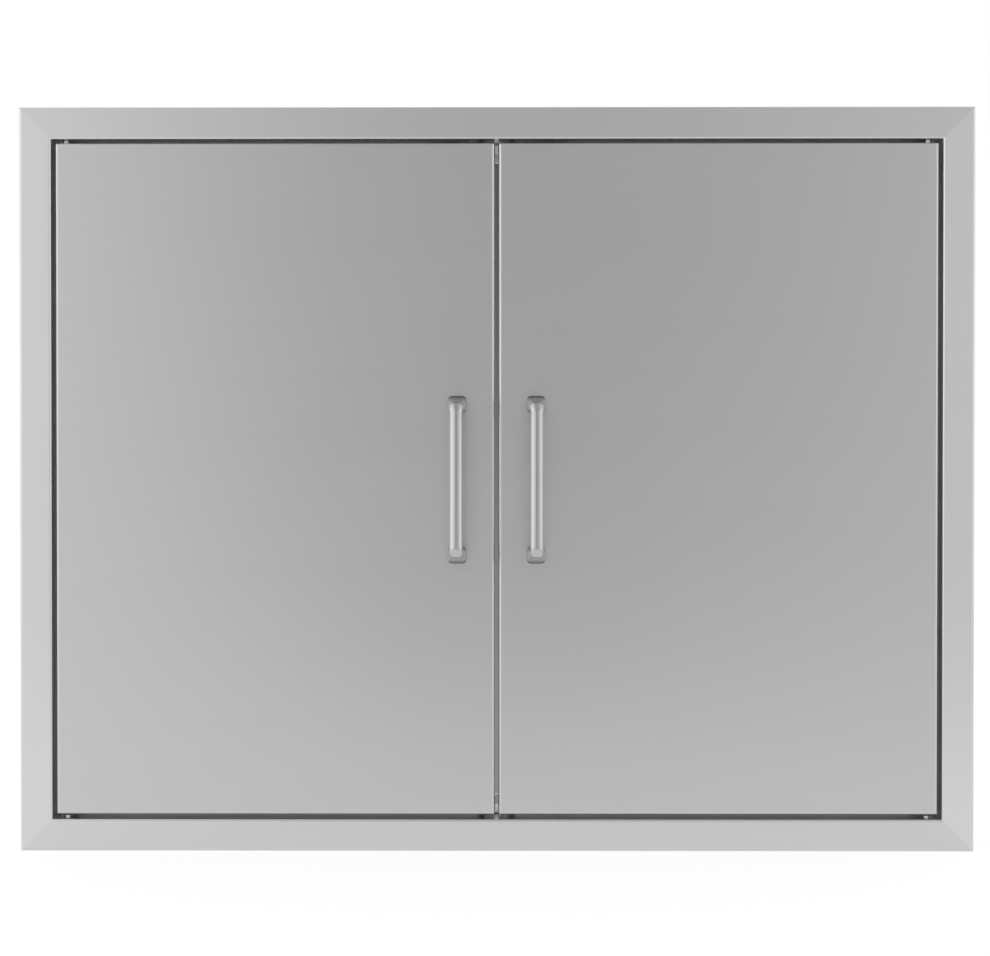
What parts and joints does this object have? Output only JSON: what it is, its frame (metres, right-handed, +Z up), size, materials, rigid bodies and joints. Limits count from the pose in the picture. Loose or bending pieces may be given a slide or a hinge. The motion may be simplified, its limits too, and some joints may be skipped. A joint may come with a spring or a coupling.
{
  "type": "double access door",
  "caption": "Flush double access door for an outdoor-kitchen island: mitred stainless face frame, two pivoting doors, bow handles and magnetic catches.",
  "frame": {"origin": "centre of the frame opening, in the plane of the island's face behind the flange", "axes": "+X to the right of someone facing the doors, +Y into the island, +Z up"},
  "size_m": [0.848, 0.0983, 0.661],
  "materials": {
    "brushed_stainless": "brushed stainless sheet, fine straight grain",
    "polished_stainless": "polished stainless, cast and buffed",
    "turned_stainless": "bright turned stainless pin",
    "zinc_plated": "bright zinc-plated steel",
    "spring_steel": "drawn spring wire",
    "black_acetal": "machined black acetal",
    "black_nylon": "moulded black nylon, light texture",
    "ferrite": "sintered ferrite magnet",
    "black_rubber": "soft black rubber"
  },
  "bodies": {
    "frame": {"frame_top_rail": "brushed_stainless", "frame_bottom_rail": "brushed_stainless", "frame_left_stile": "brushed_stainless", "frame_right_stile": "brushed_stainless", "door_stop_top": "brushed_stainless", "door_stop_bottom": "brushed_stainless", "door_stop_left": "brushed_stainless", "door_stop_right": "brushed_stainless", "bottom_pivot_pins": "turned_stainless", "top_pivot_bushes": "black_acetal", "catch_housings": "black_nylon", "catch_magnets": "ferrite", "catch_pole_plates": "zinc_plated", "door_bumpers": "black_rubber"},
    "left_door": {"left_door_skin": "brushed_stainless", "left_door_liner": "brushed_stainless", "left_handle_stiffener": "zinc_plated", "left_handle": "polished_stainless", "left_handle_screws": "zinc_plated", "left_pivot_bush": "black_acetal", "left_plunger_bracket": "zinc_plated", "left_plunger_spring": "spring_steel", "left_strike_plate": "zinc_plated"},
    "left_plunger": {"left_plunger_rod": "turned_stainless", "left_plunger_clip": "spring_steel"},
    "right_door": {"right_door_skin": "brushed_stainless", "right_door_liner": "brushed_stainless", "right_handle_stiffener": "zinc_plated", "right_handle": "polished_stainless", "right_handle_screws": "zinc_plated", "right_pivot_bush": "black_acetal", "right_plunger_bracket": "zinc_plated", "right_plunger_spring": "spring_steel", "right_strike_plate": "zinc_plated"},
    "right_plunger": {"right_plunger_rod": "turned_stainless", "right_plunger_clip": "spring_steel"}
  },
  "joints": [
    {"name": "left_door_hinge", "type": "hinge", "parent": "frame", "child": "left_door", "pos_m": [-0.3835, -0.002, 0], "axis": [0, 0, -1], "range_deg": [0, 110]},
    {"name": "left_plunger_slide", "type": "slide", "parent": "left_door", "child": "left_plunger", "axis": [0, 0, -1], "range_m": [0, 0.008], "stiffness_N_per_m": 300, "springref_m": -0.01, "deforming": ["left_plunger_spring"]},
    {"name": "right_door_hinge", "type": "hinge", "parent": "frame", "child": "right_door", "pos_m": [0.3835, -0.002, 0], "axis": [0, 0, 1], "range_deg": [0, 110]},
    {"name": "right_plunger_slide", "type": "slide", "parent": "right_door", "child": "right_plunger", "axis": [0, 0, -1], "range_m": [0, 0.008], "stiffness_N_per_m": 300, "springref_m": -0.01, "deforming": ["right_plunger_spring"]}
  ]
}
